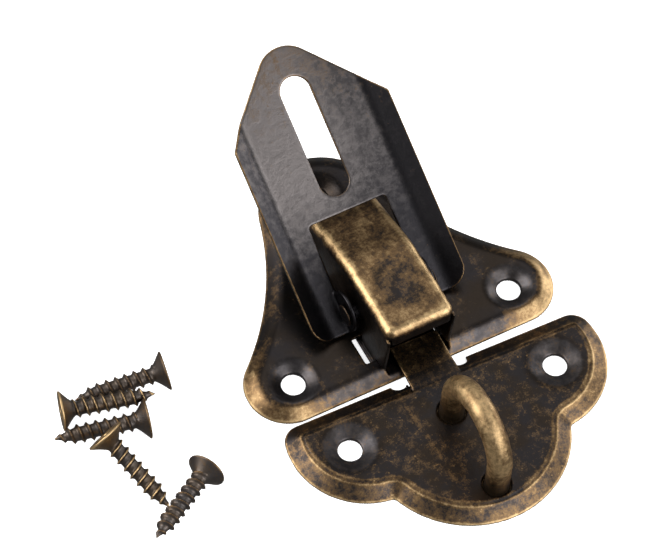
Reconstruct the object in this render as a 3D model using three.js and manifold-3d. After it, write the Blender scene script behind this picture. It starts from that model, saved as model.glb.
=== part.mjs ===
// Antique bronze box hasp and staple, in millimetres, +Z up.
//
// The hasp half is a stamped base plate with a folded housing clinched to it and a leaf hinged
// on a pin through the housing's walls. The leaf is thrown back, resting on the housing's ramp.
// The staple half is a scalloped plate with a wire staple riveted to it; its tongue lies in the
// housing's mouth. Five countersunk wood screws lie loose beside the two halves.
//
// The working frame has its origin on the line of the base plate's two front screw holes, with
// +Y towards the plate's top lobe. The finished group is shifted so that the origin ends up on
// the seating plane, in the middle of the base plate's front rim.

import * as THREE from 'three';
import { mergeVertices } from 'three/addons/utils/BufferGeometryUtils.js';
import Module from 'manifold-3d';

const wasm = await Module();
wasm.setup();

// ---------------------------------------------------------------- driving dimensions

const SHEET = 0.6;                // thickness of every sheet part
const PLATE_HEIGHT = 2.0;         // top of both stamped plates above the wood
const RIM = 0.3;                  // upright part of a plate's rim
const SCREW_HOLE = 1.8;           // radius of the screw holes
const DIMPLE_DEPTH = 1.1;         // sink of the screw dimples
const SEAT = 0.1;                 // clearance where one fixed piece rests on another
const PAST = 1;                   // how far a cutting shape runs past the face it cuts
const SPAN = 60;                  // half width of a block wider than any piece

const BASE_BEVEL = 1.8;
const BASE_HOLE_X = 18.0;         // half spacing of the two front holes
const BASE_TOP_HOLE_Y = 26.5;
const BASE_DIMPLE = 3.65;
const BASE_LOBE = { x: 18.64, y: 0.6, r: 6.5 };
const BASE_CROWN = { x: 0, y: 24.3, r: 9.75 };
const BASE_WAIST = 45;            // radius of the hollow sides
const BASE_FRONT = BASE_LOBE.y - BASE_LOBE.r;

const CHANNEL = { x: 0.2, halfWidth: 5.0, back: 3.0, floor: 0.9 };
const SLIT = { inner: 4.9, outer: 7.25, length: 4.6, front: -2.3, rear: 13.5 };

const HOUSING = {
  halfWidth: 5.6, front: -4.95, kink: 8.7, back: 20.0, top: 12.1, backTop: 8.6, lip: 2.9, radius: 1.5,
  chamfer: 0.45,
};
const TAB = { length: 4.4, foot: 0.55, heel: 0.8, heelWidth: 0.3, bottom: 0.3 };

const PIN = { y: 4.3, z: 6.0, r: 1.0, halfLength: 7.15, headRadius: 1.7, head: 0.5, shift: -0.2 };
const RUNNING = 0.1;              // radial clearance of the pin in its holes

const LEAF = {
  tilt: 27.4, plane: -2.2, tail: -2.6, tailRadius: 2.8, window: 13.95, windowHalf: 6.4,
  slotNear: 18.8, slotFar: 32.85, slotRadius: 2.35, shoulder: 27.95, fold: 31.65,
  foldHalf: 9.8, half: 12.72, flangeRise: 1.9, tipCentre: 35.15, tipRadius: 4.8,
};
const EAR = { inner: 6.3, centre: 0.55, centreHeight: -0.6, radius: 3.15 };

const STAPLE_PLATE = {
  x: 1.02, y: -13.79, turn: -1.6, topEdge: 7.1, corner: 2.9, holeX: 16.8, dimple: 4.35, bevel: 2.8,
  lobe: { x: 13.5, y: 2.05, r: 11.7 }, belly: { x: 0, y: -4.1, r: 15.45 }, cusp: 0.8,
};
const TONGUE = { x: -0.45, halfWidth: 3.9, reach: 12.2, relief: 1.1, root: 0.3 };
const STAPLE = {
  x: 0.15, near: -14.75, far: -28.15, wire: 1.85, arcHeight: 6.9, bottom: 0.45, hole: 2.15,
  rivet: 2.6, rivetBottom: 0.35, rivetTop: 0.95,
};

const SCREW = {
  length: 14, headRadius: 2.95, headRim: 0.25, headHeight: 2.0, neck: 1.15, core: 1.05, crest: 1.5,
  pitch: 1.4, flank: 0.42, taper: 4.2,
};
// Where each loose screw's head lies, the way its tip points and how far it slopes, in degrees.
const SCREW_PLACES = [
  { name: 'screw_1', head: [-34.1, 9.27, 2.97], heading: 170.0, slope: -8.0 },
  { name: 'screw_2', head: [-50.8, 10.0, 2.97], heading: -15.3, slope: 2.0 },
  { name: 'screw_3', head: [-40.0, 3.3, 2.97], heading: 166.0, slope: -3.0 },
  { name: 'screw_4', head: [-47.7, 2.2, 6.0], heading: -69.2, slope: -24.5 },
  { name: 'screw_5', head: [-36.3, -7.9, 2.97], heading: -149.0, slope: 5.0 },
];

const BRONZE = { color: 0x4a3f33, roughness: 0.5, metalness: 0.9 };
const BRASS = { color: 0x8a6c3c, roughness: 0.42, metalness: 0.95 };
const DARK = { color: 0x37342f, roughness: 0.55, metalness: 0.85 };

// ---------------------------------------------------------------- helpers

// A three.js geometry as a manifold solid.
function solid(geometry) {
  const bare = geometry.index ? geometry.toNonIndexed() : geometry.clone();
  bare.deleteAttribute('normal');
  bare.deleteAttribute('uv');
  const merged = mergeVertices(bare, 1e-5);
  return new wasm.Manifold(new wasm.Mesh({
    numProp: 3,
    vertProperties: new Float32Array(merged.attributes.position.array),
    triVerts: new Uint32Array(merged.index.array),
  }));
}

// A manifold solid as a named mesh.
function meshOf(name, body, look) {
  const mesh = body.getMesh();
  const geometry = new THREE.BufferGeometry();
  geometry.setAttribute('position', new THREE.BufferAttribute(new Float32Array(mesh.vertProperties), 3));
  geometry.setIndex(new THREE.BufferAttribute(new Uint32Array(mesh.triVerts), 1));
  geometry.computeVertexNormals();
  const result = new THREE.Mesh(geometry, new THREE.MeshStandardMaterial(look));
  result.name = name;
  return result;
}

// A box between two corners.
function block(low, high) {
  const size = high.map((value, axis) => value - low[axis]);
  const middle = high.map((value, axis) => (value + low[axis]) / 2);
  return solid(new THREE.BoxGeometry(...size).translate(...middle));
}

// An outline in plan, extruded between two heights.
function slab(outline, bottom, top) {
  const settings = { depth: top - bottom, bevelEnabled: false, curveSegments: 12 };
  return solid(new THREE.ExtrudeGeometry(outline, settings).translate(0, 0, bottom));
}

// An outline drawn as (y, z), extruded between two values of x.
function sideSlab(outline, from, to) {
  const settings = { depth: to - from, bevelEnabled: false, curveSegments: 12 };
  const geometry = new THREE.ExtrudeGeometry(outline, settings);
  const alongX = new THREE.Matrix4().makeBasis(
    new THREE.Vector3(0, 1, 0), new THREE.Vector3(0, 0, 1), new THREE.Vector3(1, 0, 0));
  return solid(geometry.applyMatrix4(alongX).translate(from, 0, 0));
}

// A turned piece standing on its axis; the profile runs from the axis back to the axis.
function turned(profile, segments = 32) {
  const points = profile.map(([radius, height]) => new THREE.Vector2(radius, height));
  return solid(new THREE.LatheGeometry(points, segments).rotateX(Math.PI / 2));
}

// A rod along X between two values of x.
function rod(radius, from, to, y, z) {
  const geometry = new THREE.CylinderGeometry(radius, radius, to - from, 32);
  return solid(geometry.rotateZ(Math.PI / 2).translate((from + to) / 2, y, z));
}

// Points of an arc round a centre, angles in degrees.
function arc(centre, radius, start, end, steps) {
  return Array.from({ length: steps + 1 }, (_, step) => {
    const angle = THREE.MathUtils.degToRad(start + (end - start) * step / steps);
    return new THREE.Vector2(centre.x + radius * Math.cos(angle), centre.y + radius * Math.sin(angle));
  });
}

// An outline from its right half, which runs from the bottom to the top.
function mirroredShape(rightHalf) {
  const leftHalf = rightHalf.map((point) => new THREE.Vector2(-point.x, point.y)).reverse();
  const closed = [...rightHalf, ...leftHalf];
  const distinct = closed.filter((point, i) => point.distanceTo(closed.at(i - 1)) > 1e-3);
  return new THREE.Shape(distinct);
}

// The angle, in degrees, at which one point is seen from another.
function bearing(from, to) {
  return THREE.MathUtils.radToDeg(Math.atan2(to.y - from.y, to.x - from.x));
}

// The centre of the circle that touches two circles from outside, right of the line between them.
function hollowCentre(first, second, radius) {
  const span = Math.hypot(second.x - first.x, second.y - first.y);
  const toFirst = radius + first.r;
  const toSecond = radius + second.r;
  const along = (toFirst ** 2 - toSecond ** 2 + span ** 2) / (2 * span);
  const across = Math.sqrt(toFirst ** 2 - along ** 2);
  const unit = { x: (second.x - first.x) / span, y: (second.y - first.y) / span };
  return {
    x: first.x + unit.x * along + unit.y * across,
    y: first.y + unit.y * along - unit.x * across,
  };
}

// The solid under a stamped plate's top: an upright rim and then one bevel up to the flat.
function panSolid(flatOutline, rim, height, bevel) {
  const settings = {
    depth: rim, bevelEnabled: true, bevelSegments: 1, bevelSize: bevel, bevelThickness: height - rim,
  };
  const doubled = solid(new THREE.ExtrudeGeometry(flatOutline, settings));
  return doubled.intersect(block([-SPAN, -SPAN, 0], [SPAN, SPAN, SPAN]));
}

// A stamped pan with one sheet's thickness, open below.
function pan(outlineAt, bevel, kept = null) {
  const outer = panSolid(outlineAt(bevel), RIM, PLATE_HEIGHT, bevel);
  const hollow = panSolid(outlineAt(bevel + RIM), RIM / 2, PLATE_HEIGHT - SHEET, bevel - RIM);
  return outer.subtract(kept ? hollow.subtract(kept) : hollow);
}

// A round cutter standing through a plate.
function drill(radius, x, y) {
  const bottom = -PAST;
  const top = PLATE_HEIGHT + PAST;
  return turned([[0, bottom], [radius, bottom], [radius, top], [0, top]]).translate([x, y, 0]);
}

// A screw dimple with its hole, sunk into a plate.
function withDimple(plate, x, y, radius) {
  const sunk = PLATE_HEIGHT - DIMPLE_DEPTH;
  const under = PLATE_HEIGHT - SHEET;
  const joint = PLATE_HEIGHT - SHEET / 4;
  const funnel = turned([
    [0, sunk - SHEET], [SCREW_HOLE + SHEET, sunk - SHEET],
    [radius + RIM, under], [radius + RIM, joint], [0, joint],
  ]);
  const cone = turned([
    [0, sunk], [SCREW_HOLE, sunk],
    [radius, PLATE_HEIGHT], [radius, PLATE_HEIGHT + PAST], [0, PLATE_HEIGHT + PAST],
  ]);
  const sunken = plate.add(funnel.translate([x, y, 0])).subtract(cone.translate([x, y, 0]));
  return sunken.subtract(drill(SCREW_HOLE, x, y));
}

// ---------------------------------------------------------------- hasp half

// The bell-shaped outline: two end lobes, hollow sides and a crown, drawn in by an inset.
function baseOutline(inset) {
  const hollow = hollowCentre(BASE_LOBE, BASE_CROWN, BASE_WAIST);
  const lobeAngle = bearing(BASE_LOBE, hollow);
  const crownAngle = bearing(BASE_CROWN, hollow);
  return mirroredShape([
    ...arc(BASE_LOBE, BASE_LOBE.r - inset, -90, lobeAngle, 16),
    ...arc(hollow, BASE_WAIST + inset, lobeAngle - 180, crownAngle - 180, 8),
    ...arc(BASE_CROWN, BASE_CROWN.r - inset, crownAngle, 90, 8),
  ]);
}

// One of the four slits that take the housing's tabs.
function slit(side, start) {
  const [low, high] = [side * SLIT.inner, side * SLIT.outer].sort((a, b) => a - b);
  return block([low, start, -PAST], [high, start + SLIT.length, PLATE_HEIGHT + PAST]);
}

// The base plate: a bevelled pan with a sunk channel for the tongue, slits for the housing's
// tabs and three dimpled screw holes.
function basePlate() {
  const left = CHANNEL.x - CHANNEL.halfWidth;
  const right = CHANNEL.x + CHANNEL.halfWidth;
  const front = BASE_FRONT - PAST;
  const trough = block([left, front, CHANNEL.floor], [right, CHANNEL.back, PLATE_HEIGHT + PAST]);
  const shell = block([left - SHEET, front, CHANNEL.floor - SHEET],
    [right + SHEET, CHANNEL.back + SHEET, PLATE_HEIGHT]);
  let plate = pan(baseOutline, BASE_BEVEL, shell).subtract(trough);
  for (const side of [-1, 1]) {
    plate = plate.subtract(slit(side, SLIT.front)).subtract(slit(side, SLIT.rear));
    plate = withDimple(plate, side * BASE_HOLE_X, 0, BASE_DIMPLE);
  }
  plate = withDimple(plate, 0, BASE_TOP_HOLE_Y, BASE_DIMPLE);
  return meshOf('base_plate', plate, BRONZE);
}

// The housing's profile from the side: an upright front, a flat top and a ramp falling back.
function housingProfile(inset, bottom) {
  const fold = { x: HOUSING.front + HOUSING.radius, y: HOUSING.top - HOUSING.radius };
  return new THREE.Shape([
    new THREE.Vector2(HOUSING.front + inset, bottom),
    new THREE.Vector2(HOUSING.back, bottom),
    new THREE.Vector2(HOUSING.back, HOUSING.backTop - inset),
    new THREE.Vector2(HOUSING.kink, HOUSING.top - inset),
    ...arc(fold, HOUSING.radius - inset, 90, 180, 4),
  ]);
}

// A bar that takes the sharp corner off one of the housing's two long folds.
function foldChamfer(side) {
  const bar = new THREE.BoxGeometry(SHEET, SPAN, SHEET).rotateY(Math.PI / 4);
  const offset = HOUSING.halfWidth + SHEET / Math.SQRT2 - HOUSING.chamfer;
  return solid(bar.translate(side * offset, 0, HOUSING.top));
}

// One tab of the housing, with its foot turned out under the plate.
function tab(side, start) {
  const end = start + TAB.length;
  const toe = HOUSING.halfWidth + TAB.foot;
  const piece = (from, to, rear, top) => {
    const [low, high] = [side * from, side * to].sort((a, b) => a - b);
    return block([low, start, TAB.bottom], [high, rear, top]);
  };
  const upright = piece(HOUSING.halfWidth - SHEET, HOUSING.halfWidth, end, PLATE_HEIGHT + PAST);
  const foot = piece(HOUSING.halfWidth - SHEET, toe, end, TAB.bottom + SHEET);
  const heel = piece(toe - TAB.heelWidth, toe, end + TAB.heel, TAB.bottom + SHEET);
  return upright.add(foot).add(heel);
}

// The folded housing with its mouth, its pin holes and the tabs clinched under the plate.
function housing() {
  const foot = PLATE_HEIGHT + SEAT;
  const wide = HOUSING.halfWidth;
  const inner = wide - SHEET;
  let body = sideSlab(housingProfile(0, foot), -wide, wide);
  body = body.subtract(foldChamfer(-1)).subtract(foldChamfer(1));
  const room = sideSlab(housingProfile(SHEET, foot - PAST), -inner, inner);
  const openBack = block([-inner, HOUSING.back - PAST, foot - PAST],
    [inner, HOUSING.back + PAST, HOUSING.backTop - SHEET]);
  const mouth = block([-inner, HOUSING.front - PAST, foot - PAST],
    [inner, HOUSING.front + HOUSING.radius + SHEET, HOUSING.top - HOUSING.lip]);
  body = body.subtract(room).subtract(openBack).subtract(mouth);
  const slack = (SLIT.length - TAB.length) / 2;
  for (const side of [-1, 1]) {
    body = body.add(tab(side, SLIT.front + slack)).add(tab(side, SLIT.rear + slack));
  }
  body = body.subtract(rod(PIN.r + RUNNING, -wide - PAST, wide + PAST, PIN.y, PIN.z));
  return meshOf('housing', body, BRASS);
}

// The hinge pin, headed over outside the leaf's ears.
function hingePin() {
  const reach = PIN.halfLength;
  let pin = rod(PIN.r, PIN.shift - reach, PIN.shift + reach, PIN.y, PIN.z);
  for (const side of [-1, 1]) {
    const [low, high] = [side * reach, side * (reach + PIN.head)].sort((a, b) => a - b);
    pin = pin.add(rod(PIN.headRadius, PIN.shift + low, PIN.shift + high, PIN.y, PIN.z));
  }
  return meshOf('hinge_pin', pin, BRASS);
}

// The leaf's outline in plan, before the window and the slot are cut.
function leafOutline() {
  const tip = { x: 0, y: LEAF.tipCentre };
  const edge = { x: LEAF.foldHalf, y: LEAF.fold };
  const away = Math.hypot(edge.x - tip.x, edge.y - tip.y);
  const touch = bearing(tip, edge) + THREE.MathUtils.radToDeg(Math.acos(LEAF.tipRadius / away));
  const corner = { x: LEAF.half - LEAF.tailRadius, y: LEAF.tail + LEAF.tailRadius };
  return mirroredShape([
    ...arc(corner, LEAF.tailRadius, -90, 0, 8),
    new THREE.Vector2(LEAF.half, LEAF.shoulder),
    new THREE.Vector2(LEAF.foldHalf, LEAF.fold),
    ...arc(tip, LEAF.tipRadius, touch, 90, 8),
  ]);
}

// The leaf's cross-section: a flat with a flange turned up along each side.
function leafSection() {
  const under = [
    [-LEAF.half, LEAF.plane + LEAF.flangeRise], [-LEAF.foldHalf, LEAF.plane],
    [LEAF.foldHalf, LEAF.plane], [LEAF.half, LEAF.plane + LEAF.flangeRise],
  ];
  const outer = under.map(([x, z]) => [x, z - SHEET]).reverse();
  return new THREE.Shape([...under, ...outer].map(([x, z]) => new THREE.Vector2(x, z)));
}

// One of the two ears that hang the leaf on the pin.
function ear(side) {
  const bottom = LEAF.plane - SHEET;
  const outline = new THREE.Shape([
    new THREE.Vector2(EAR.centre - EAR.radius, bottom),
    new THREE.Vector2(EAR.centre + EAR.radius, bottom),
    ...arc({ x: EAR.centre, y: EAR.centreHeight }, EAR.radius, 0, 180, 16),
  ]);
  const [low, high] = [side * EAR.inner, side * (EAR.inner + SHEET)].sort((a, b) => a - b);
  return sideSlab(outline, low, high);
}

// The sheet of the leaf with its flanges, cut to its outline.
function leafBlank() {
  const length = LEAF.tipCentre + LEAF.tipRadius - LEAF.tail;
  const folded = new THREE.ExtrudeGeometry(leafSection(), { depth: length, bevelEnabled: false });
  const alongY = new THREE.Matrix4().makeBasis(
    new THREE.Vector3(-1, 0, 0), new THREE.Vector3(0, 0, 1), new THREE.Vector3(0, 1, 0));
  const sheet = solid(folded.applyMatrix4(alongY).translate(0, LEAF.tail, 0));
  return sheet.intersect(slab(leafOutline(), -SPAN, SPAN));
}

// The leaf in its own frame: the pin's axis is X, and Y runs along the leaf to its tip.
function leaf() {
  const slot = new THREE.Shape([
    ...arc({ x: 0, y: LEAF.slotNear }, LEAF.slotRadius, 180, 360, 12),
    ...arc({ x: 0, y: LEAF.slotFar }, LEAF.slotRadius, 0, 180, 12),
  ]);
  const window = block([-LEAF.windowHalf, LEAF.tail - PAST, -SPAN], [LEAF.windowHalf, LEAF.window, SPAN]);
  let body = leafBlank().subtract(window).subtract(slab(slot, -SPAN, SPAN));
  body = body.add(ear(-1)).add(ear(1));
  body = body.subtract(rod(PIN.r + RUNNING, -LEAF.foldHalf, LEAF.foldHalf, 0, 0));
  return meshOf('leaf', body, DARK);
}

// ---------------------------------------------------------------- staple half

// The circle that rounds the scalloped plate's upper corner, inside the lobe.
function upperCorner() {
  const { lobe, corner, topEdge } = STAPLE_PLATE;
  const y = topEdge - corner;
  return { x: lobe.x + Math.sqrt((lobe.r - corner) ** 2 - (y - lobe.y) ** 2), y };
}

// The scalloped outline: two side lobes and a belly under a straight top edge.
function stapleOutline(inset) {
  const { lobe, belly, cusp, corner } = STAPLE_PLATE;
  const notch = hollowCentre(belly, lobe, cusp);
  const fromBelly = bearing(belly, notch);
  const fromLobe = bearing(lobe, notch);
  const rounding = upperCorner();
  const turn = bearing(lobe, rounding);
  return mirroredShape([
    ...arc(belly, belly.r - inset, -90, fromBelly, 12),
    ...arc(notch, cusp + inset, fromBelly + 180, fromLobe + 180, 4),
    ...arc(lobe, lobe.r - inset, fromLobe, turn, 10),
    ...arc(rounding, Math.max(corner - inset, RIM / 4), turn, 90, 4),
  ]);
}

// A round-ended notch beside the tongue's root.
function reliefNotch(x) {
  const { topEdge } = STAPLE_PLATE;
  return new THREE.Shape([
    ...arc({ x, y: topEdge - TONGUE.root }, TONGUE.relief, 180, 360, 12),
    new THREE.Vector2(x + TONGUE.relief, topEdge + PAST),
    new THREE.Vector2(x - TONGUE.relief, topEdge + PAST),
  ]);
}

// The staple plate with its tongue, relief notches, screw dimples and staple holes.
function staplePlate() {
  const { topEdge, bevel, holeX, dimple } = STAPLE_PLATE;
  const left = TONGUE.x - TONGUE.halfWidth;
  const right = TONGUE.x + TONGUE.halfWidth;
  const under = PLATE_HEIGHT - SHEET;
  let plate = pan(stapleOutline, bevel);
  for (const x of [left - TONGUE.relief, right + TONGUE.relief]) {
    plate = plate.subtract(slab(reliefNotch(x), -PAST, PLATE_HEIGHT + PAST));
  }
  plate = plate.subtract(block([left, topEdge - bevel, -PAST], [right, topEdge + PAST, under]));
  plate = plate.add(block([left, topEdge - bevel - PAST, under], [right, TONGUE.reach, PLATE_HEIGHT]));
  plate = withDimple(withDimple(plate, -holeX, 0, dimple), holeX, 0, dimple);
  for (const [x, y] of stapleFeet()) {
    plate = plate.subtract(drill(STAPLE.hole, x, y));
  }
  return meshOf('staple_plate', plate, BRONZE);
}

// The staple's feet in the staple plate's own frame.
function stapleFeet() {
  const turn = THREE.MathUtils.degToRad(-STAPLE_PLATE.turn);
  return [STAPLE.near, STAPLE.far].map((y) => {
    const foot = new THREE.Vector2(STAPLE.x - STAPLE_PLATE.x, y - STAPLE_PLATE.y);
    foot.rotateAround(new THREE.Vector2(), turn);
    return [foot.x, foot.y];
  });
}

// The route of the staple's wire, from one foot over the crown to the other.
class StapleCurve extends THREE.Curve {
  getPoint(t, target = new THREE.Vector3()) {
    const radius = (STAPLE.near - STAPLE.far) / 2;
    const middle = (STAPLE.near + STAPLE.far) / 2;
    const leg = STAPLE.arcHeight - STAPLE.bottom;
    const half = Math.PI * radius;
    const along = t * (2 * leg + half);
    if (along < leg) {
      return target.set(STAPLE.x, STAPLE.near, STAPLE.bottom + along);
    }
    if (along > leg + half) {
      return target.set(STAPLE.x, STAPLE.far, STAPLE.arcHeight - (along - leg - half));
    }
    const angle = (along - leg) / radius;
    const y = middle + radius * Math.cos(angle);
    return target.set(STAPLE.x, y, STAPLE.arcHeight + radius * Math.sin(angle));
  }
}

// The wire staple with its ends riveted over under the plate.
function staple() {
  const section = new THREE.Shape(arc({ x: 0, y: 0 }, STAPLE.wire, 0, 345, 23));
  const wire = new THREE.ExtrudeGeometry(section, { steps: 36, extrudePath: new StapleCurve() });
  const rivet = turned([
    [0, STAPLE.rivetBottom], [STAPLE.rivet, STAPLE.rivetBottom],
    [STAPLE.rivet, STAPLE.rivetTop], [0, STAPLE.rivetTop],
  ]);
  let body = solid(wire);
  for (const y of [STAPLE.near, STAPLE.far]) {
    body = body.add(rivet.translate([STAPLE.x, y, 0]));
  }
  return meshOf('staple', body, BRASS);
}

// ---------------------------------------------------------------- screws

// A countersunk wood screw: the head's face at the origin and the tip along -Z.
function screwSolid() {
  const { length, headRadius, headRim, headHeight, neck, core, crest, pitch, flank, taper } = SCREW;
  const profile = [[0, 0], [headRadius, 0], [headRadius, -headRim], [neck, -headHeight]];
  const turns = Math.floor((length - headHeight - pitch / 2) / pitch);
  for (let turn = 0; turn < turns; turn++) {
    const height = -headHeight - pitch * (turn + 0.5);
    const narrowing = Math.min(1, (length + height) / taper);
    profile.push([core * narrowing, height + flank]);
    profile.push([crest * narrowing, height]);
    profile.push([core * narrowing, height - flank]);
  }
  profile.push([0, -length]);
  return turned(profile.reverse(), 16);
}

// One loose screw, turned from upright to the way it lies.
function looseScrew({ name, head, heading, slope }) {
  const mesh = meshOf(name, screwSolid(), DARK);
  const turn = THREE.MathUtils.degToRad(heading);
  const rise = THREE.MathUtils.degToRad(slope);
  const flat = Math.cos(rise);
  const toTip = new THREE.Vector3(Math.cos(turn) * flat, Math.sin(turn) * flat, Math.sin(rise));
  mesh.quaternion.setFromUnitVectors(new THREE.Vector3(0, 0, -1), toTip);
  mesh.position.set(...head);
  return mesh;
}

// ---------------------------------------------------------------- assembly

const hingedLeaf = new THREE.Group();
hingedLeaf.position.set(PIN.shift, PIN.y, PIN.z);
hingedLeaf.rotation.x = THREE.MathUtils.degToRad(LEAF.tilt);
hingedLeaf.add(leaf());

const laidPlate = new THREE.Group();
laidPlate.position.set(STAPLE_PLATE.x, STAPLE_PLATE.y, 0);
laidPlate.rotation.z = THREE.MathUtils.degToRad(STAPLE_PLATE.turn);
laidPlate.add(staplePlate());

const hasp = new THREE.Group();
hasp.add(basePlate(), housing(), hingePin(), hingedLeaf, laidPlate, staple());
hasp.add(...SCREW_PLACES.map(looseScrew));
hasp.position.y = -(BASE_FRONT + SHEET / 2);

export default hasp;
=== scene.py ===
# Antique bronze box hasp and staple: the detailed pieces, finishes, lights and camera.
# Shapes are worked out in millimetres in the hasp's working frame, whose origin is on the line
# of the base plate's two front screw holes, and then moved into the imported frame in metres.
import math

import bpy
import numpy as np
from mathutils import Matrix, Vector


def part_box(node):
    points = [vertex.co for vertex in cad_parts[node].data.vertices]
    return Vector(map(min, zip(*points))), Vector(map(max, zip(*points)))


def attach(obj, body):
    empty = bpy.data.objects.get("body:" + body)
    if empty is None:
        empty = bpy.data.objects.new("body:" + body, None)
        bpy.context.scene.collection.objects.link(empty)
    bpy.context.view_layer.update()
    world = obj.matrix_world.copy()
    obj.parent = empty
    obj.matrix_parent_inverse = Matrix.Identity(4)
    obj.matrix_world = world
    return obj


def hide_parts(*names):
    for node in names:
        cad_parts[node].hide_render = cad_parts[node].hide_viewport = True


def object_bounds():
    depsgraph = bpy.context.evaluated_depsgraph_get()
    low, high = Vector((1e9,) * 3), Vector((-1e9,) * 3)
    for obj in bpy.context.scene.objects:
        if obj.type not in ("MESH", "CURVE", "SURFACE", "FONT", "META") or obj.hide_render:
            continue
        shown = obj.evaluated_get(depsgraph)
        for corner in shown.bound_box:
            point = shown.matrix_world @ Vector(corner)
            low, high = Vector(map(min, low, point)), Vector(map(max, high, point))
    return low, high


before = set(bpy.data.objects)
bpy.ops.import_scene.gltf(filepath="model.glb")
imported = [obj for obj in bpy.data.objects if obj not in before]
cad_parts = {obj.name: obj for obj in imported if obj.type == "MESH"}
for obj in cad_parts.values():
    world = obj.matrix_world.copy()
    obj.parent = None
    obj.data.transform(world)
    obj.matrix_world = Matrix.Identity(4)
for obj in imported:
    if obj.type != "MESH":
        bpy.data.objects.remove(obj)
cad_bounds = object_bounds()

MM = 0.001

# ---------------------------------------------------------------- driving dimensions, mm

SHEET = 0.6
PLATE_HEIGHT = 2.0
RIM = 0.3
SCREW_HOLE = 1.8
DIMPLE_DEPTH = 1.1
EDGE = 0.14                      # rounding of a cut edge

BASE = {"bevel": 2.1, "hole_x": 18.0, "top_hole_y": 26.5, "dimple": 3.65, "waist": 45.0}
BASE_LOBE = {"x": 18.64, "y": 0.6, "r": 6.5}
BASE_FRONT = BASE_LOBE["y"] - BASE_LOBE["r"]
BASE_CROWN = {"x": 0.0, "y": 24.3, "r": 9.75}
CHANNEL = {"x": 0.2, "half_width": 5.0, "back": 3.0, "floor": 0.9}
SLIT = {"inner": 4.9, "outer": 7.25, "length": 4.6, "front": -2.3, "rear": 13.5}

HOUSING = {
    "half_width": 5.6, "front": -4.95, "kink": 8.7, "back": 20.0, "top": 12.1, "back_top": 8.6,
    "lip": 2.9, "radius": 1.5, "foot": 2.1, "seam": 0.24, "seam_top": 10.6,
    "seam_depth": 0.75, "lean": 0.08,
}
TAB = {"length": 4.4, "foot": 0.55, "bottom": 0.3, "heel": 0.8, "heel_width": 1.1}
PIN = {"x": -0.2, "y": 4.3, "z": 6.0, "r": 1.0, "half_length": 7.15, "head_r": 1.7, "head": 0.5}
RUNNING = 0.1                    # play round the hinge pin

LEAF = {
    "tilt": 27.4, "plane": -2.2, "tail": -2.6, "tail_r": 2.8, "window": 13.95, "window_half": 6.4,
    "slot_near": 18.8, "slot_far": 32.85, "slot_r": 2.35, "shoulder": 27.95, "fold": 31.65,
    "fold_half": 9.8, "half": 12.72, "rise": 1.9, "tip_y": 35.15, "tip_r": 4.8, "corner": 0.6,
}
EAR = {"inner": 6.3, "y": 0.55, "z": -0.6, "r": 3.15}

STAPLE_PLATE = {
    "x": 1.02, "y": -13.79, "turn": -1.6, "top_edge": 7.1, "hole_x": 16.8, "dimple": 4.35,
    "bevel": 2.8, "cusp": 0.8, "corner": 2.9,
}
BEADS = (2.25, 2.95)             # lines raised along the staple plate's bevel, in from its outline
BEAD_RISE = 0.06
BEAD_WIDTH = 0.17
STAPLE_LOBE = {"x": 13.5, "y": 2.05, "r": 11.7}
STAPLE_BELLY = {"x": 0.0, "y": -4.1, "r": 15.45}
TONGUE = {
    "x": -0.45, "half_width": 3.9, "reach": 12.2, "relief": 1.1, "root": 0.3, "edge": 0.22,
}
STAPLE = {
    "x": 0.15, "near": -14.75, "far": -28.15, "wire": 1.85, "arc_z": 6.9, "bottom": 0.45,
    "rivet": 2.6, "rivet_height": 0.6, "hole": 2.15,
}
SCREW = {
    "length": 14.0, "head_r": 2.95, "rim": 0.25, "head": 2.1, "core": 1.02, "crest": 1.5,
    "pitch": 1.4, "point": 3.2, "flare": 1.25, "taper": 0.8, "flank": 0.27, "sharpness": 1.15,
    "run_out": 2.0, "thread_top": 0.55,
}
# The cross recess narrows by its drafts for each mm of depth.
RECESS = {
    "arm": 1.75, "arm_draft": 0.75, "half_width": 0.36, "width_draft": 0.1,
    "centre": 0.75, "centre_draft": 0.35, "depth": 1.5,
}

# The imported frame's origin is on the base plate's front rim.
TO_FRAME = Matrix.Translation((0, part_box("base_plate")[0].y / MM - BASE_FRONT, 0))

# ---------------------------------------------------------------- outlines


def arc(centre, radius, start, end, steps=24):
    """Points on an arc round a centre, from one angle to another in degrees."""
    angles = np.radians(np.linspace(start, end, steps + 1))
    x = centre["x"] + radius * np.cos(angles)
    y = centre["y"] + radius * np.sin(angles)
    return np.stack([x, y], axis=1)


def mirrored(*stretches):
    """A closed outline from its right half, which runs from the bottom to the top."""
    right = np.concatenate([np.atleast_2d(stretch) for stretch in stretches])
    return np.concatenate([right, right[::-1] * (-1, 1)])


def bearing(start, end):
    """Direction in degrees from one point to another."""
    return math.degrees(math.atan2(end["y"] - start["y"], end["x"] - start["x"]))


def hollow_centre(first, second, radius):
    """Centre of the circle that touches two circles from outside, right of the line between them."""
    span = math.hypot(second["x"] - first["x"], second["y"] - first["y"])
    to_first = radius + first["r"]
    to_second = radius + second["r"]
    along = (to_first ** 2 - to_second ** 2 + span ** 2) / (2 * span)
    across = math.sqrt(to_first ** 2 - along ** 2)
    ux = (second["x"] - first["x"]) / span
    uy = (second["y"] - first["y"]) / span
    x = first["x"] + ux * along + uy * across
    y = first["y"] + uy * along - ux * across
    return {"x": x, "y": y}


def base_outline():
    """Bell-shaped: two end lobes, hollow sides and a crown."""
    hollow = hollow_centre(BASE_LOBE, BASE_CROWN, BASE["waist"])
    lobe = bearing(BASE_LOBE, hollow)
    crown = bearing(BASE_CROWN, hollow)
    return mirrored(
        arc(BASE_LOBE, BASE_LOBE["r"], -90, lobe, 40),
        arc(hollow, BASE["waist"], lobe - 180, crown - 180),
        arc(BASE_CROWN, BASE_CROWN["r"], crown, 90),
    )


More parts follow.
